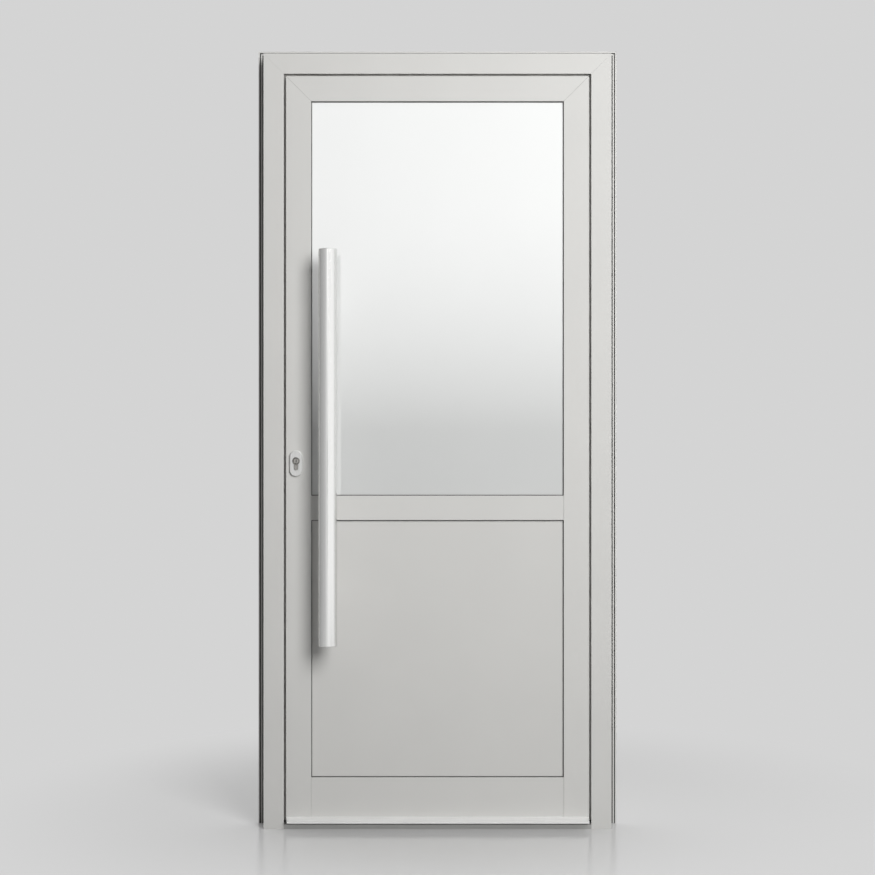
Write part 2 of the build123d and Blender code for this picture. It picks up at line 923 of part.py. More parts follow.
def hinge_part(middle, side, knuckle_middles):
    """A screwed plate with knuckles, on the frame for side 1 and on the leaf for side -1."""
    near = hinge_x + side * hinge_plate_gap
    plate_edges = sorted((near, near + side * hinge_plate_width))
    web_edges = sorted((hinge_x + side * knuckle_root, near + side * knuckle_radius))
    with BuildPart() as piece:
        with BuildSketch(Plane.XY.offset(middle - hinge_height / 2)):
            block(plate_edges[0], back, plate_edges[1], back + hinge_plate_thickness)
        extrude(amount=hinge_height)
        for z in knuckle_middles:
            with BuildSketch(Plane.XY.offset(z - knuckle_height / 2 + knuckle_gap / 2)):
                with Locations((hinge_x, hinge_y)):
                    Circle(knuckle_radius)
                block(web_edges[0], back, web_edges[1], hinge_y)
            extrude(amount=knuckle_height - knuckle_gap)
        with BuildSketch(Plane.XY.offset(middle - hinge_height)):
            with Locations((hinge_x, hinge_y)):
                Circle(hinge_pin_radius + running_clearance)
        extrude(amount=2 * hinge_height, mode=Mode.SUBTRACT)
    return piece.part


hinge_parts = {}
for number, middle in enumerate(hinge_heights, start=1):
    frame_knuckles = (middle - knuckle_height, middle + knuckle_height)
    with BuildPart() as hinge_frame_part:
        add(hinge_part(middle, 1, frame_knuckles))
    hinge_parts[f"hinge_frame_part_{number}"] = hinge_frame_part
    with BuildPart() as hinge_leaf_part:
        add(hinge_part(middle, -1, (middle,)))
    hinge_parts[f"hinge_leaf_part_{number}"] = hinge_leaf_part

with BuildPart() as hinge_pins:
    for middle in hinge_heights:
        with BuildSketch(Plane.XY.offset(middle - hinge_height / 2)):
            with Locations((hinge_x, hinge_y)):
                Circle(hinge_pin_radius)
        extrude(amount=hinge_height)
        for end in (middle - hinge_height / 2 - hinge_cap, middle + hinge_height / 2):
            with BuildSketch(Plane.XY.offset(end)):
                with Locations((hinge_x, hinge_y)):
                    Circle(knuckle_radius)
            extrude(amount=hinge_cap)

pieces = {
    "left_jamb": left_jamb,
    "right_jamb": right_jamb,
    "head": head,
    "frame_thermal_break": frame_thermal_break,
    "outer_stop_gasket": outer_stop_gasket,
    "inner_stop_gasket": inner_stop_gasket,
    "threshold_outer": threshold_outer,
    "threshold_break": threshold_break,
    "threshold_inner": threshold_inner,
    "strike_plate": strike_plate,
    "lock_stile": lock_stile,
    "hinge_stile": hinge_stile,
    "top_rail": top_rail,
    "mid_rail": mid_rail,
    "bottom_rail": bottom_rail,
    "leaf_thermal_break": leaf_thermal_break,
    "glass_pane_outer": glass_pane_outer,
    "glass_pane_inner": glass_pane_inner,
    "glass_spacer": glass_spacer,
    "panel_outer_sheet": panel_outer_sheet,
    "panel_core": panel_core,
    "panel_inner_sheet": panel_inner_sheet,
    "glass_gasket": glass_gasket,
    "panel_gasket": panel_gasket,
    "glass_beads": glass_beads,
    "panel_beads": panel_beads,
    "drip_rail": drip_rail,
    "bottom_seal": bottom_seal,
    "pull_bar": pull_bar,
    "pull_bar_ends": pull_bar_ends,
    "standoffs": standoffs,
    "pull_bolts": pull_bolts,
    "lock_escutcheon": lock_escutcheon,
    "lock_cylinder": lock_cylinder,
    "cylinder_plug": cylinder_plug,
    "lock_faceplate": lock_faceplate,
    "inside_plate": inside_plate,
    "inside_lever": inside_lever,
    "hinge_pins": hinge_pins,
    **hinge_parts,
}

os.makedirs("parts", exist_ok=True)
for name, piece in pieces.items():
    piece.part.label = name
    export_step(piece.part, f"parts/{name}.step")
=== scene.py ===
from math import radians

import bmesh
import bpy
from mathutils import Matrix, Vector


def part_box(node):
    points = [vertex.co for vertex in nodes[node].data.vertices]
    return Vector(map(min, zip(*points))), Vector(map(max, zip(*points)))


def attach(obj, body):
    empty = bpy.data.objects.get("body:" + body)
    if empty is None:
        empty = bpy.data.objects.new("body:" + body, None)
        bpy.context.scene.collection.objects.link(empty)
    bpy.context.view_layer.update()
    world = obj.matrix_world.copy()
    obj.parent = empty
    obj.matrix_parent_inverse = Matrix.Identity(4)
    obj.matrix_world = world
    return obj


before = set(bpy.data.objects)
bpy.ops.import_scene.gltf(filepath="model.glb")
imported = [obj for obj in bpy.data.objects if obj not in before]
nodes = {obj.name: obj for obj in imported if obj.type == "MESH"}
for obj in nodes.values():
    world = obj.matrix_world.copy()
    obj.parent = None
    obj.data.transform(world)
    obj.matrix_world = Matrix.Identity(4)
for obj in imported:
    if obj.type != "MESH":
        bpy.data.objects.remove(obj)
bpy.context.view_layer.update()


# Frame profiles: two jambs and a head of extruded aluminium, cut at 45 degrees, crimped on
# corner cleats and powder-coated a light warm grey with a fine sand texture.
def new_material(name):
    """A material with its shader, and the object's own coordinates."""
    material = bpy.data.materials.new(name)
    material.use_nodes = True
    tree = material.node_tree
    shader = tree.nodes["Principled BSDF"]
    place = tree.nodes.new("ShaderNodeTexCoord")
    return material, tree, shader, place.outputs["Object"]


def noise(tree, place, scale, detail=2.0, stretch=(1, 1, 1)):
    """A noise pattern, drawn out where the real surface has a direction."""
    mapping = tree.nodes.new("ShaderNodeMapping")
    mapping.inputs["Scale"].default_value = stretch
    tree.links.new(place, mapping.inputs["Vector"])
    pattern = tree.nodes.new("ShaderNodeTexNoise")
    pattern.inputs["Scale"].default_value = scale
    pattern.inputs["Detail"].default_value = detail
    tree.links.new(mapping.outputs["Vector"], pattern.inputs["Vector"])
    return pattern.outputs["Fac"]


def remap(tree, value, from_low, from_high, to_low, to_high, smooth=False):
    """A value carried from one range to another, and held at its ends."""
    ramp = tree.nodes.new("ShaderNodeMapRange")
    if smooth:
        ramp.interpolation_type = "SMOOTHSTEP"
    ramp.inputs["From Min"].default_value = from_low
    ramp.inputs["From Max"].default_value = from_high
    ramp.inputs["To Min"].default_value = to_low
    ramp.inputs["To Max"].default_value = to_high
    tree.links.new(value, ramp.inputs["Value"])
    return ramp.outputs["Result"]


def spread(tree, pattern, low, high):
    """The middle stretch of a noise pattern, spread between two values."""
    return remap(tree, pattern, from_low=0.3, from_high=0.7, to_low=low, to_high=high)


def tint(tree, colour, level):
    """A colour made lighter and darker by a level about 1."""
    scale = tree.nodes.new("ShaderNodeVectorMath")
    scale.operation = "SCALE"
    scale.inputs[0].default_value = colour
    tree.links.new(level, scale.inputs["Scale"])
    return scale.outputs["Vector"]


def relief(tree, shader, height, distance, strength):
    """A bump on the shader's normal."""
    bump = tree.nodes.new("ShaderNodeBump")
    bump.inputs["Distance"].default_value = distance
    bump.inputs["Strength"].default_value = strength
    tree.links.new(height, bump.inputs["Height"])
    tree.links.new(bump.outputs["Normal"], shader.inputs["Normal"])


def compute(tree, operation, *values):
    """One step of arithmetic on numbers and node outputs."""
    step = tree.nodes.new("ShaderNodeMath")
    step.operation = operation
    for socket, value in zip(step.inputs, values):
        if isinstance(value, (int, float)):
            socket.default_value = value
        else:
            tree.links.new(value, socket)
    return step.outputs["Value"]


def axes(tree, place):
    """The X, Y and Z of a place or a direction."""
    parts = tree.nodes.new("ShaderNodeSeparateXYZ")
    tree.links.new(place, parts.inputs["Vector"])
    return parts.outputs["X"], parts.outputs["Y"], parts.outputs["Z"]


def dress(names, material):
    """Gives CAD nodes their material."""
    for name in names:
        data = nodes[name].data
        data.materials.clear()
        data.materials.append(material)


coat_colour = (0.66, 0.655, 0.635)
seam_half_width = 0.0007


def powder_coat(name, colour, seam=None, seam_shade=1.0):
    """Fine-textured matt powder coat, darker in the hairline where two profiles meet.

    A seam is a slope, an offset and a depth: it lies where slope times Z plus the offset
    is as large as the distance from the door's middle, and ends at the depth.
    """
    material, tree, shader, place = new_material(name)
    level = spread(tree, noise(tree, place, scale=5), low=0.988, high=1.012)
    if seam:
        slope, offset, depth = seam
        x, y, z = axes(tree, place)
        off = compute(tree, "SUBTRACT", compute(tree, "ABSOLUTE", x), offset)
        off = compute(tree, "SUBTRACT", off, compute(tree, "MULTIPLY", z, slope))
        on_seam = compute(tree, "LESS_THAN", compute(tree, "ABSOLUTE", off), seam_half_width)
        on_seam = compute(tree, "MULTIPLY", on_seam, compute(tree, "LESS_THAN", y, depth))
        darker = compute(tree, "MULTIPLY_ADD", on_seam, seam_shade - 1, 1.0)
        level = compute(tree, "MULTIPLY", level, darker)
    tree.links.new(tint(tree, colour, level), shader.inputs["Base Color"])
    gloss = spread(tree, noise(tree, place, scale=40), low=0.42, high=0.50)
    tree.links.new(gloss, shader.inputs["Roughness"])
    sand = noise(tree, place, scale=1400, detail=1.0)
    relief(tree, shader, sand, distance=0.00012, strength=0.5)
    return material


mitre_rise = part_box("head")[1][2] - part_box("right_jamb")[1][0]
mitre_slope = 1
through = 0.1
mitre = (mitre_slope, -mitre_rise, through)
frame_coat = powder_coat("frame_coat", coat_colour, seam=mitre, seam_shade=0.95)
dress(["left_jamb", "right_jamb", "head"], frame_coat)


# Thermal break of the frame: bars of glass-fibre reinforced polyamide, rolled into both
# shells of every profile, and a hard plastic bar that joins the threshold's two profiles.
def black_stuff(name, colour, roughness, scale):
    """Polyamide or rubber, with a little bloom on its skin."""
    material, tree, shader, place = new_material(name)
    level = spread(tree, noise(tree, place, scale), low=0.8, high=1.25)
    tree.links.new(tint(tree, colour, level), shader.inputs["Base Color"])
    bloom = 0.06
    skin = spread(tree, noise(tree, place, scale=60), roughness - bloom, roughness + bloom)
    tree.links.new(skin, shader.inputs["Roughness"])
    relief(tree, shader, noise(tree, place, scale=900), distance=0.0001, strength=0.4)
    return material


polyamide = black_stuff("polyamide", (0.020, 0.020, 0.021), roughness=0.6, scale=30)
dress(["frame_thermal_break", "threshold_break"], polyamide)

# Stop seals: black rubber profiles pressed into the frame's rebate, with a lip that leans
# towards the leaf, mitred at the corners, outside and inside.
seal_rubber = black_stuff("seal_rubber", (0.012, 0.012, 0.012), roughness=0.55, scale=20)
dress(["outer_stop_gasket", "inner_stop_gasket"], seal_rubber)


# Wall seals: two black rubber cords pressed into the slot and the groove of the frame's
# cover flange, up both jambs and across the head, where the flange lies on the reveal.
# Their black also stands for the shade deep in the slot and the groove: partly painted shade.
def vertices_of(geometry):
    """The vertices among the parts that an operator made."""
    return [part for part in geometry if isinstance(part, bmesh.types.BMVert)]


def frame_cord(bm, inner, outer, near_y, far_y, rounding):
    """A cord up both jambs and across the head, with its front edges rounded."""
    corners = (
        (-outer, 0),
        (-outer, outer + mitre_rise),
        (outer, outer + mitre_rise),
        (outer, 0),
        (inner, 0),
        (inner, inner + mitre_rise),
        (-inner, inner + mitre_rise),
        (-inner, 0),
    )
    face = bm.faces.new([bm.verts.new((x, near_y, z)) for x, z in corners])
    front_edges = list(face.edges)
    back = bmesh.ops.extrude_face_region(bm, geom=[face])["geom"]
    bmesh.ops.translate(bm, verts=vertices_of(back), vec=(0, far_y - near_y, 0))
    bmesh.ops.bevel(
        bm,
        geom=front_edges,
        offset=rounding,
        affect="EDGES",
        segments=2,
        profile=0.5,
        material=-1,
    )


crease_angle = radians(35)


def make_piece(bm, name, body, material):
    """A finished mesh as a piece that rides on a body."""
    bmesh.ops.recalc_face_normals(bm, faces=bm.faces)
    mesh = bpy.data.meshes.new(name)
    bm.to_mesh(mesh)
    bm.free()
    mesh.materials.append(material)
    mesh.shade_smooth()
    mesh.set_sharp_from_angle(angle=crease_angle)
    piece = bpy.data.objects.new(name, mesh)
    bpy.context.scene.collection.objects.link(piece)
    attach(piece, body)


flange_edge, flange_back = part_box("right_jamb")[1][0:2]
# How far the slot and the groove lie in from the flange's edge, and how broad they are.
seal_slot = (0.0100, 0.0060)
seal_groove = (0.0035, 0.0030)
# How deep the cords' front and back faces lie under the flange's back.
cord_bottom = 0.0047
cord_top = 0.0020
cord_play = 0.0001
cord_rounding = 0.0006
bm = bmesh.new()
for inset, breadth in (seal_slot, seal_groove):
    frame_cord(
        bm,
        inner=flange_edge - inset - breadth + cord_play,
        outer=flange_edge - inset - cord_play,
        near_y=flange_back - cord_bottom,
        far_y=flange_back - cord_top,
        rounding=cord_rounding,
    )
# The cords are black rubber, and their black also stands for shade in the flange's slot and
# groove: partly painted shade.
make_piece(bm, "flange_seal_cords", "frame", seal_rubber)


# Threshold: an outer and an inner flat profile of extruded aluminium, anodised a mid grey,
# the outer one with three tread grooves, clipped on the plastic bar.
along_x = (0.02, 1, 1)


def drawn_metal(name, colour, roughness, stretch, metallic=1.0, streaks=0.06):
    """Metal with the fine lines of its drawing or brushing, along one axis."""
    material, tree, shader, place = new_material(name)
    shader.inputs["Metallic"].default_value = metallic
    lines = noise(tree, place, scale=400, detail=3.0, stretch=stretch)
    colours = tint(tree, colour, spread(tree, lines, 1 - streaks, 1 + streaks))
    tree.links.new(colours, shader.inputs["Base Color"])
    wear = 0.04
    polish = spread(tree, lines, roughness - wear, roughness + wear)
    tree.links.new(polish, shader.inputs["Roughness"])
    relief(tree, shader, lines, distance=0.00005, strength=0.3)
    return material


threshold_metal = drawn_metal(
    "threshold_metal", (0.42, 0.42, 0.41), roughness=0.38, stretch=along_x, metallic=0.7
)
dress(["threshold_outer", "threshold_inner"], threshold_metal)


# Strike plate: a stamped stainless plate on the left jamb, with ways for the latch and the
# dead bolt, held by two countersunk socket screws.
def socket_head(bm, radius, height, socket, seat):
    """A low domed screw head with a hexagon socket, on a seat."""
    shoulder_height = 0.4 * height
    crown_rise = 0.6 * height
    crown_inset = 0.3 * radius
    socket_depth = 0.8 * height
    before = set(bm.verts)
    rim = bmesh.ops.create_circle(bm, cap_ends=True, segments=24, radius=radius)["verts"]
    face = rim[0].link_faces[0]
    shoulder = bmesh.ops.extrude_face_region(bm, geom=[face])["geom"]
    bmesh.ops.translate(bm, verts=vertices_of(shoulder), vec=(0, 0, shoulder_height))
    top = next(part for part in shoulder if isinstance(part, bmesh.types.BMFace))
    bmesh.ops.inset_region(bm, faces=[top], thickness=crown_inset, depth=0)
    bmesh.ops.translate(bm, verts=list(top.verts), vec=(0, 0, crown_rise))
    crown_edges = list(top.edges)
    bmesh.ops.delete(bm, geom=[top], context="FACES_ONLY")
    hexagon = bmesh.ops.create_circle(bm, segments=6, radius=socket)["verts"]
    bmesh.ops.translate(bm, verts=hexagon, vec=(0, 0, height))
    hexagon_edges = list({edge for vert in hexagon for edge in vert.link_edges})
    bmesh.ops.bridge_loops(bm, edges=crown_edges + hexagon_edges)
    sides = bmesh.ops.extrude_edge_only(bm, edges=hexagon_edges)["geom"]
    floor_verts = vertices_of(sides)
    floor_edges = [part for part in sides if isinstance(part, bmesh.types.BMEdge)]
    bmesh.ops.translate(bm, verts=floor_verts, vec=(0, 0, -socket_depth))
    low_edges = [edge for edge in floor_edges if all(v in floor_verts for v in edge.verts)]
    bmesh.ops.contextual_create(bm, geom=low_edges)
    made = [vert for vert in bm.verts if vert not in before]
    bmesh.ops.transform(bm, matrix=seat, verts=made)


def seat_at(point, direction):
    """The place of a piece made along Z, set on a point and turned to a direction."""
    turn = Vector(direction).to_track_quat("Z", "Y").to_matrix().to_4x4()
    return Matrix.Translation(point) @ turn


def screw_heads(name, places, direction, size, body, material):
    """Screw heads of one size: radius, height and the socket's radius."""
    bm = bmesh.new()
    for place in places:
        socket_head(bm, *size, seat_at(place, direction))
    make_piece(bm, name, body, material)


along_z = (1, 1, 0.05)
steel = drawn_metal("steel", (0.55, 0.55, 0.54), roughness=0.3, stretch=along_z)
dress(["strike_plate", "lock_faceplate"], steel)
countersunk_size = (0.0038, 0.0005, 0.0016)
screw_inset = 0.012
strike_low, strike_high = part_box("strike_plate")
plate_y = (strike_low[1] + strike_high[1]) / 2
screw_heads(
    "strike_plate_screws",
    [
        (strike_high[0], plate_y, strike_low[2] + screw_inset),
        (strike_high[0], plate_y, strike_high[2] - screw_inset),
    ],
    (1, 0, 0),
    countersunk_size,
    "frame",
    steel,
)

# Leaf profiles: stiles and top rail mitred like the frame, mid and bottom rails cut square
# and screwed between the stiles, snap-in beads inside, all in the same powder coat.
leaf_coat = powder_coat("leaf_coat", coat_colour, seam=mitre, seam_shade=0.72)
dress(["lock_stile", "hinge_stile", "top_rail"], leaf_coat)
stile_breadth = 0.101
rail_end = -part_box("lock_stile")[0][0] - stile_breadth
butt_slope = 0
front_only = 0
butt = (butt_slope, rail_end, front_only)
rail_coat = powder_coat("rail_coat", coat_colour, seam=butt, seam_shade=0.8)
dress(["mid_rail", "bottom_rail", "glass_beads", "panel_beads"], rail_coat)
dress(["leaf_thermal_break"], polyamide)

# Lower infill: two powder-coated aluminium sheets glued to a core of rigid foam with closed
# cells, set in the leaf's rebate and held there by the panel beads.
sheet_coat = powder_coat("sheet_coat", (0.65, 0.645, 0.625))
dress(["panel_outer_sheet", "panel_inner_sheet"], sheet_coat)
foam, tree, shader, place = new_material("foam")
cells = tree.nodes.new("ShaderNodeTexVoronoi")
cells.inputs["Scale"].default_value = 900
tree.links.new(place, cells.inputs["Vector"])
cell_level = remap(
    tree, cells.outputs["Distance"], from_low=0, from_high=0.8, to_low=0.75, to_high=1.1
)
tree.links.new(tint(tree, (0.72, 0.66, 0.48), cell_level), shader.inputs["Base Color"])
shader.inputs["Roughness"].default_value = 0.85
relief(tree, shader, cells.outputs["Distance"], distance=0.0004, strength=0.6)
dress(["panel_core"], foam)

# Upper infill: sealed double glazing. The outer pane is float glass with a milky satin
# layer behind its polished face, the inner pane is clear, with a plastic spacer between.
satin_glass, tree, shader, place = new_material("satin_glass")
milkiness = spread(tree, noise(tree, place, scale=3), low=0.99, high=1.01)
milk = tint(tree, (0.795, 0.805, 0.795), milkiness)
tree.links.new(milk, shader.inputs["Base Color"])
shader.inputs["Roughness"].default_value = 0.5
shader.inputs["Transmission Weight"].default_value = 0.1
shader.inputs["Specular IOR Level"].default_value = 0.2
shader.inputs["Coat Weight"].default_value = 1.0
shader.inputs["Coat Roughness"].default_value = 0.02
shader.inputs["Coat IOR"].default_value = 2.6
dress(["glass_pane_outer"], satin_glass)
clear_glass, tree, shader, place = new_material("clear_glass")
clearness = spread(tree, noise(tree, place, scale=3), low=0.99, high=1.0)
green = tint(tree, (0.94, 0.97, 0.95), clearness)
tree.links.new(green, shader.inputs["Base Color"])
shader.inputs["Roughness"].default_value = 0.02
shader.inputs["Transmission Weight"].default_value = 1.0
shader.inputs["IOR"].default_value = 1.5
shader.inputs["Alpha"].default_value = 0.35
dress(["glass_pane_inner"], clear_glass)
spacer = black_stuff("spacer", (0.08, 0.08, 0.08), roughness=0.5, scale=30)
dress(["glass_spacer"], spacer)

# Glazing gaskets: dark grey rubber strips rolled in on both faces of each infill, against
# the rebate outside and the beads inside.
glazing_rubber = black_stuff(
    "glazing_rubber", (0.05, 0.05, 0.049), roughness=0.6, scale=30
)
dress(["glass_gasket", "panel_gasket"], glazing_rubber)

# Drip rail: an extruded aluminium nosing, satin anodised, screwed to the leaf's foot, with
# a rubber seal behind it against the threshold.
rail_metal = drawn_metal(
    "rail_metal", (0.88, 0.88, 0.87), roughness=0.35, stretch=along_x, metallic=0.35
)
dress(["drip_rail"], rail_metal)
dress(["bottom_seal"], seal_rubber)


# Lock case: a stainless faceplate in the leaf's edge, with the drawn-back latch and dead
# bolt flush in it, two countersunk screws and the screw that holds the cylinder.
def bolt_block(bm, centre, size, corner):
    """A steel block with broken edges."""
    verts = bmesh.ops.create_cube(bm, size=1)["verts"]
    bmesh.ops.scale(bm, vec=size, verts=verts)
    bmesh.ops.translate(bm, vec=centre, verts=verts)
    bmesh.ops.bevel(
        bm,
        geom=list({edge for vert in verts for edge in vert.link_edges}),
        offset=corner,
        affect="EDGES",
        segments=2,
        profile=0.5,
        material=-1,
    )


face_low, face_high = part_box("lock_faceplate")
plug_low, plug_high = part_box("cylinder_plug")
plug_x = (plug_low[0] + plug_high[0]) / 2
plug_z = (plug_low[2] + plug_high[2]) / 2
lever_low, lever_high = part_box("inside_lever")
spindle_z = (lever_low[2] + lever_high[2]) / 2
dead_bolt_rise = 0.020
dead_bolt_z = plug_z + dead_bolt_rise
bolt_recess = 0.0006
bolt_depth = face_high[0] - face_low[0] - bolt_recess
bolt_x = face_low[0] + bolt_recess + bolt_depth / 2
bolt_thickness = 0.012
dead_bolt_size = (bolt_depth, bolt_thickness, 0.040)
latch_size = (bolt_depth, bolt_thickness, 0.034)
bm = bmesh.new()
bolt_block(bm, (bolt_x, plate_y, dead_bolt_z), dead_bolt_size, corner=0.0006)
bolt_block(bm, (bolt_x, plate_y, spindle_z), latch_size, corner=0.0009)
make_piece(bm, "lock_bolt_faces", "leaf", steel)
screw_heads(
    "lock_faceplate_screws",
    [
        (face_low[0], plate_y, face_low[2] + screw_inset),
        (face_low[0], plate_y, plug_z - screw_inset),
        (face_low[0], plate_y, face_high[2] - screw_inset),
    ],
    (-1, 0, 0),
    countersunk_size,
    "leaf",
    steel,
)


# Lock cover and cylinder: an oval cover of satin metal, pressed on from outside, round a
# nickel-plated brass profile cylinder with a turning plug. A darker turned ring lines the
# cover's opening; its dark nickel is painted shade, standing for the shade in the gap
# round the cylinder.
def turned_ring(bm, section, seat):
    """A ring turned from a closed section of radius and height, on a seat."""
    before = set(bm.verts)
    verts = [bm.verts.new((radius, 0, height)) for radius, height in section]
    edges = [bm.edges.new((a, b)) for a, b in zip(verts, verts[1:] + verts[:1])]
    bmesh.ops.spin(
        bm,
        geom=verts + edges,
        cent=(0, 0, 0),
        axis=(0, 0, 1),
        angle=radians(360),
        steps=48,
        use_merge=True,
    )
    made = [vert for vert in bm.verts if vert not in before]
    bmesh.ops.transform(bm, matrix=seat, verts=made)


trim_metal = drawn_metal(
    "trim_metal", (0.67, 0.67, 0.66), roughness=0.35, stretch=along_z, metallic=0.5
)
dress(["lock_escutcheon", "inside_plate", "inside_lever"], trim_metal)
nickel = drawn_metal("nickel", (0.36, 0.35, 0.33), roughness=0.3, stretch=along_z)
dress(["lock_cylinder"], nickel)
plug_face = plug_low[1]
keyway_lip = plug_face + 0.0001
keyway_full_shade = plug_face + 0.0008
plug_nickel, tree, shader, place = new_material("plug_nickel")
# The keyway darkens with depth below the plug's face: painted shade in the slot.
keyway_painted_shade = remap(
    tree, axes(tree, place)[1], keyway_lip, keyway_full_shade, to_low=1, to_high=0.12
)
turned = spread(tree, noise(tree, place, scale=900), low=0.96, high=1.04)
plug_level = compute(tree, "MULTIPLY", keyway_painted_shade, turned)
tree.links.new(tint(tree, (0.40, 0.39, 0.37), plug_level), shader.inputs["Base Color"])
shader.inputs["Metallic"].default_value = 0.8
shader.inputs["Roughness"].default_value = 0.35
dress(["cylinder_plug"], plug_nickel)
cover_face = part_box("lock_escutcheon")[0][1]
cover_height = plug_face - cover_face
ring_inner = 0.0068
ring_outer = 0.0104
cover_opening = 0.0086
ring_foot = 0.0001
bore_height = 0.0010
lip_height = 0.0004
lip_crown = 0.0007
lip_chamfer = 0.0006
ring_section = (
    (ring_inner, ring_foot),
    (cover_opening, ring_foot),
    (cover_opening, cover_height),
    (ring_outer, cover_height),
    (ring_outer, cover_height + lip_height),
    (ring_outer - lip_chamfer, cover_height + lip_crown),
    (ring_inner, bore_height),
)
# The ring's nickel is dark to stand for the shade in the gap round the cylinder: painted shade.
shade_nickel = drawn_metal(
    "shade_nickel", (0.36, 0.355, 0.34), roughness=0.32, stretch=(1, 1, 1)
)
bm = bmesh.new()
turned_ring(bm, ring_section, seat_at((plug_x, plug_face, plug_z), (0, -1, 0)))
make_piece(bm, "cylinder_ring", "leaf", shade_nickel)

# Inside furniture: a long rounded plate with a mitred lever, held by two socket screws
# through the leaf, and a turned collar round the lever's neck.
plate_low, plate_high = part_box("inside_plate")
plate_back = plate_high[1]
plate_screw_inset = 0.014
plate_screw_size = (0.0036, 0.0012, 0.0016)
screw_heads(
    "inside_plate_screws",
    [
        (plug_x, plate_back, plate_low[2] + plate_screw_inset),
        (plug_x, plate_back, plate_high[2] - plate_screw_inset),
    ],
    (0, 1, 0),
    plate_screw_size,
    "leaf",
    trim_metal,
)
neck_radius = (lever_high[2] - lever_low[2]) / 2
collar_grip = 0.0001
collar_breadth = 0.0045
collar_height = 0.0030
collar_crown = 0.0035
collar_shoulder = 0.0020
collar_section = (
    (neck_radius - collar_grip, 0),
    (neck_radius + collar_breadth, 0),
    (neck_radius + collar_breadth, collar_shoulder),
    (neck_radius + collar_crown, collar_height),
    (neck_radius - collar_grip, collar_height),
)
bm = bmesh.new()
turned_ring(bm, collar_section, seat_at((plug_x, plate_back, spindle_z), (0, 1, 0)))
make_piece(bm, "lever_collar", "leaf", trim_metal)

# Pull bar: a round aluminium tube with pressed-in end discs, satin polished, on two
# standoffs that a grub screw each holds, with bolts through the infills.
bar_metal = drawn_metal(
    "bar_metal",
    (0.80, 0.80, 0.79),
    roughness=0.2,
    stretch=(1, 1, 0.02),
    metallic=0.9,
    streaks=0.02,
)
dress(["pull_bar", "pull_bar_ends", "standoffs", "pull_bolts"], bar_metal)
standoff_low, standoff_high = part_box("standoffs")
rosette_radius = 0.019
standoff_radius = 0.012
standoff_heights = (standoff_low[2] + rosette_radius, standoff_high[2] - rosette_radius)
bar_x = (standoff_low[0] + standoff_high[0]) / 2
grub_inset = 0.045
grub_y = standoff_low[1] + grub_inset
grub_sink = 0.0001
grub_size = (0.0026, 0.0004, 0.0014)
screw_heads(
    "standoff_grub_screws",
    [(bar_x, grub_y, height - standoff_radius + grub_sink) for height in standoff_heights],
    (0, 0, -1),
    grub_size,
    "leaf",
    steel,
)

# Hinges: three-part barrel hinges of extruded aluminium, powder-coated like the profiles,
# each plate held by four socket screws, on steel pins with flat caps.
hinge_coat = powder_coat("hinge_coat", coat_colour)
hinge_parts = [
    f"hinge_{side}_part_{number}" for side in ("frame", "leaf") for number in (1, 2, 3)
]
dress(hinge_parts + ["hinge_pins"], hinge_coat)
screw_rows = (-0.045, -0.015, 0.015, 0.045)
screw_columns = (0.006, 0.012)
plate_thickness = 0.0035
hinge_screw_size = (0.0042, 0.0014, 0.0020)
for body, outwards in (("frame", 1), ("leaf", -1)):
    places = []
    for number in (1, 2, 3):
        low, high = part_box(f"hinge_{body}_part_{number}")
        outer_edge = high[0] if outwards > 0 else low[0]
        middle = (low[2] + high[2]) / 2
        for index, row in enumerate(screw_rows):
            x = outer_edge - outwards * screw_columns[index % 2]
            places.append((x, low[1] + plate_thickness, middle + row))
    screw_heads(
        f"hinge_{body}_screws",
        places,
        (0, 1, 0),
        hinge_screw_size,
        body,
        steel,
    )

# Studio: a pale seamless floor and backdrop, a soft key lamp at the upper right, a lit
# backdrop behind the door and a dim room in front of it. None of it belongs to the door.
backdrop = 0.659
floor_half = 3.2
bm = bmesh.new()
bmesh.ops.create_grid(bm, x_segments=1, y_segments=1, size=floor_half)
floor_mesh = bpy.data.meshes.new("studio_floor")
bm.to_mesh(floor_mesh)
bm.free()
floor = bpy.data.objects.new("studio_floor", floor_mesh)
bpy.context.scene.collection.objects.link(floor)


def seen_directly(tree):
    """1 for rays from the camera, a mirror or through glass, 0 for rays that light the door."""
    path = tree.nodes.new("ShaderNodeLightPath")
    seen = compute(
        tree, "MAXIMUM", path.outputs["Is Camera Ray"], path.outputs["Is Glossy Ray"]
    )
    return compute(tree, "MAXIMUM", seen, path.outputs["Is Transmission Ray"])


def mix_shaders(tree, share, first, second):
    """A blend of two shaders, by the share of the second."""
    blend = tree.nodes.new("ShaderNodeMixShader")
    tree.links.new(share, blend.inputs["Fac"])
    tree.links.new(first, blend.inputs[1])
    tree.links.new(second, blend.inputs[2])
    return blend.outputs["Shader"]


white = (1.0, 1.0, 1.0)
floor_seen_level = 0.68
floor_bounce_level = 0.27
floor_material, tree, shader, place = new_material("studio_floor")
seen = seen_directly(tree)
floor_level = remap(tree, seen, 0, 1, floor_bounce_level, floor_seen_level)
tree.links.new(tint(tree, white, floor_level), shader.inputs["Base Color"])
shader.inputs["Roughness"].default_value = 0.2
shader.inputs["IOR"].default_value = 1.65
glow = tree.nodes.new("ShaderNodeEmission")
glow.inputs["Color"].default_value = (backdrop, backdrop, backdrop, 1)
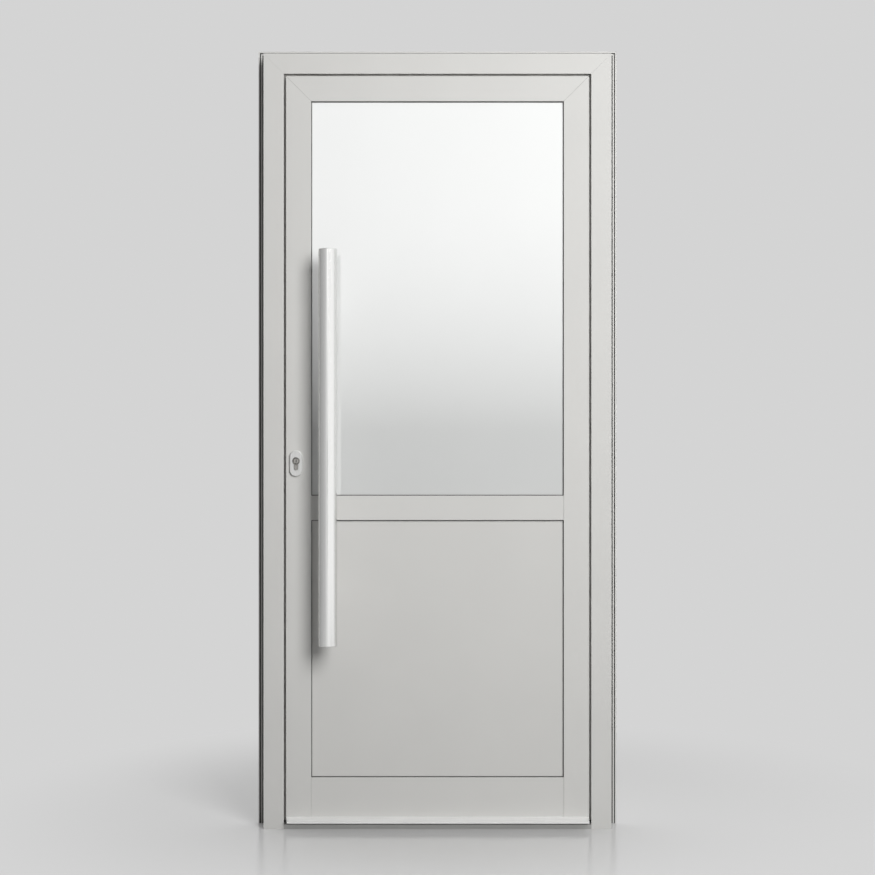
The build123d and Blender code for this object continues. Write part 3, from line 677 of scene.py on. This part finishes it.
# The floor fades into the backdrop between two distances from a point beside the door.
fade_centre = (0.1, 0.25, 0)
fade_start = 0.4
fade_end = 1.5
reach = tree.nodes.new("ShaderNodeVectorMath")
reach.operation = "DISTANCE"
reach.inputs[1].default_value = fade_centre
tree.links.new(place, reach.inputs[0])
far = remap(tree, reach.outputs["Value"], fade_start, fade_end, 0, 1, smooth=True)
faded = compute(tree, "MULTIPLY", far, seen)
floor_shader = mix_shaders(
    tree, faded, shader.outputs["BSDF"], glow.outputs["Emission"]
)
tree.links.new(floor_shader, tree.nodes["Material Output"].inputs["Surface"])
floor_mesh.materials.append(floor_material)

room_light = 0.10
backdrop_light = 1.0
# The levels that metal mirrors, by the angle round from the door's front, in degrees.
mirrored_levels = (
    (-180, 0.66),
    (-150, 0.45),
    (-120, 0.32),
    (-90, 0.40),
    (-55, 0.48),
    (-35, 0.56),
    (-20, 0.66),
    (-5, 0.94),
    (6, 1.10),
    (66, 1.12),
    (90, 0.92),
    (120, 0.80),
    (180, 0.66),
)
brightest = 1.2
softbox_level = 2.2
# The bright panel straight in front of the door, which the glass and the bar's middle
# mirror. It grows brighter with height.
panel_low = 0.24
panel_rise = 1.44
panel_half_angle = 4.8
panel_soft_angle = 1.3 * panel_half_angle

world = bpy.data.worlds.new("studio")
world.use_nodes = True
bpy.context.scene.world = world
tree = world.node_tree
x, y, z = axes(tree, tree.nodes.new("ShaderNodeTexCoord").outputs["Generated"])
lighting = tree.nodes["Background"]
tree.links.new(
    remap(
        tree,
        y,
        from_low=-0.1,
        from_high=0.3,
        to_low=room_light,
        to_high=backdrop_light,
        smooth=True,
    ),
    lighting.inputs["Strength"],
)
lighting.inputs["Color"].default_value = (*white, 1)
shown = tree.nodes.new("ShaderNodeBackground")
shown.inputs["Color"].default_value = (backdrop, backdrop, backdrop, 1)
azimuth = compute(tree, "ARCTAN2", x, compute(tree, "MULTIPLY", y, -1))
azimuth = compute(tree, "MULTIPLY", azimuth, 1 / radians(1))
ring = tree.nodes.new("ShaderNodeFloatCurve")
tree.links.new(remap(tree, azimuth, -180, 180, 0, 1), ring.inputs["Value"])
curve = ring.mapping.curves[0]
for angle, level in mirrored_levels[1:-1]:
    curve.points.new((angle + 180) / 360, level / brightest)
curve.points[0].location = (0, mirrored_levels[0][1] / brightest)
curve.points[-1].location = (1, mirrored_levels[-1][1] / brightest)
for point in curve.points:
    point.handle_type = "VECTOR"
ring.mapping.update()
around = compute(tree, "MULTIPLY", ring.outputs["Value"], brightest)
high = remap(tree, z, from_low=0.35, from_high=0.55, to_low=0, to_high=1, smooth=True)
to_the_right = remap(
    tree, x, from_low=0.15, from_high=0.40, to_low=0, to_high=1, smooth=True
)
in_softbox = compute(tree, "MULTIPLY", high, to_the_right)
softbox = compute(tree, "MULTIPLY", in_softbox, softbox_level)
around = compute(tree, "ADD", around, softbox)
short = remap(tree, z, from_low=0.004, from_high=0.150, to_low=1, to_high=0)
shortfall = compute(tree, "MULTIPLY", compute(tree, "MULTIPLY", short, short), panel_rise)
panel = compute(tree, "SUBTRACT", panel_low + panel_rise, shortfall)
turned_away = compute(tree, "ABSOLUTE", azimuth)
beside = remap(tree, turned_away, panel_half_angle, panel_soft_angle, to_low=1, to_high=0)
above = remap(tree, z, from_low=0.24, from_high=0.30, to_low=1, to_high=0)
below = remap(tree, z, from_low=-0.060, from_high=-0.040, to_low=0, to_high=1)
on_panel = compute(tree, "MULTIPLY", compute(tree, "MULTIPLY", beside, above), below)
mirrored_level = tree.nodes.new("ShaderNodeMix")
mirrored_level.data_type = "FLOAT"
tree.links.new(on_panel, mirrored_level.inputs["Factor"])
tree.links.new(around, mirrored_level.inputs["A"])
tree.links.new(panel, mirrored_level.inputs["B"])
mirrored = tree.nodes.new("ShaderNodeBackground")
mirrored.inputs["Color"].default_value = (*white, 1)
tree.links.new(mirrored_level.outputs["Result"], mirrored.inputs["Strength"])
path = tree.nodes.new("ShaderNodeLightPath")
lit_or_mirrored = mix_shaders(
    tree,
    path.outputs["Is Glossy Ray"],
    lighting.outputs["Background"],
    mirrored.outputs["Background"],
)
direct = compute(
    tree, "MAXIMUM", path.outputs["Is Camera Ray"], path.outputs["Is Transmission Ray"]
)
world_shader = mix_shaders(tree, direct, lit_or_mirrored, shown.outputs["Background"])
tree.links.new(world_shader, tree.nodes["World Output"].inputs["Surface"])

key = bpy.data.lights.new("key", "AREA")
key.shape = "RECTANGLE"
key.size = 1.6
key.size_y = 2.4
key.energy = 156
key_lamp = bpy.data.objects.new("key", key)
key_lamp.location = (1.45, -3.58, 2.66)
lamp_target = Vector((0.0, 0.0, 1.16))
aim = lamp_target - key_lamp.location
key_lamp.rotation_euler = aim.to_track_quat("-Z", "Y").to_euler()
key_lamp.visible_glossy = False
bpy.context.scene.collection.objects.link(key_lamp)

camera = bpy.data.cameras.new("camera")
camera.lens = 70.1
camera.sensor_width = 36
camera_stand = bpy.data.objects.new("camera", camera)
camera_stand.location = (0, -4.637, 1.057)
camera_stand.rotation_euler = (radians(90), 0, 0)
bpy.context.scene.collection.objects.link(camera_stand)
bpy.context.scene.camera = camera_stand
bpy.context.scene.view_settings.view_transform = "Standard"
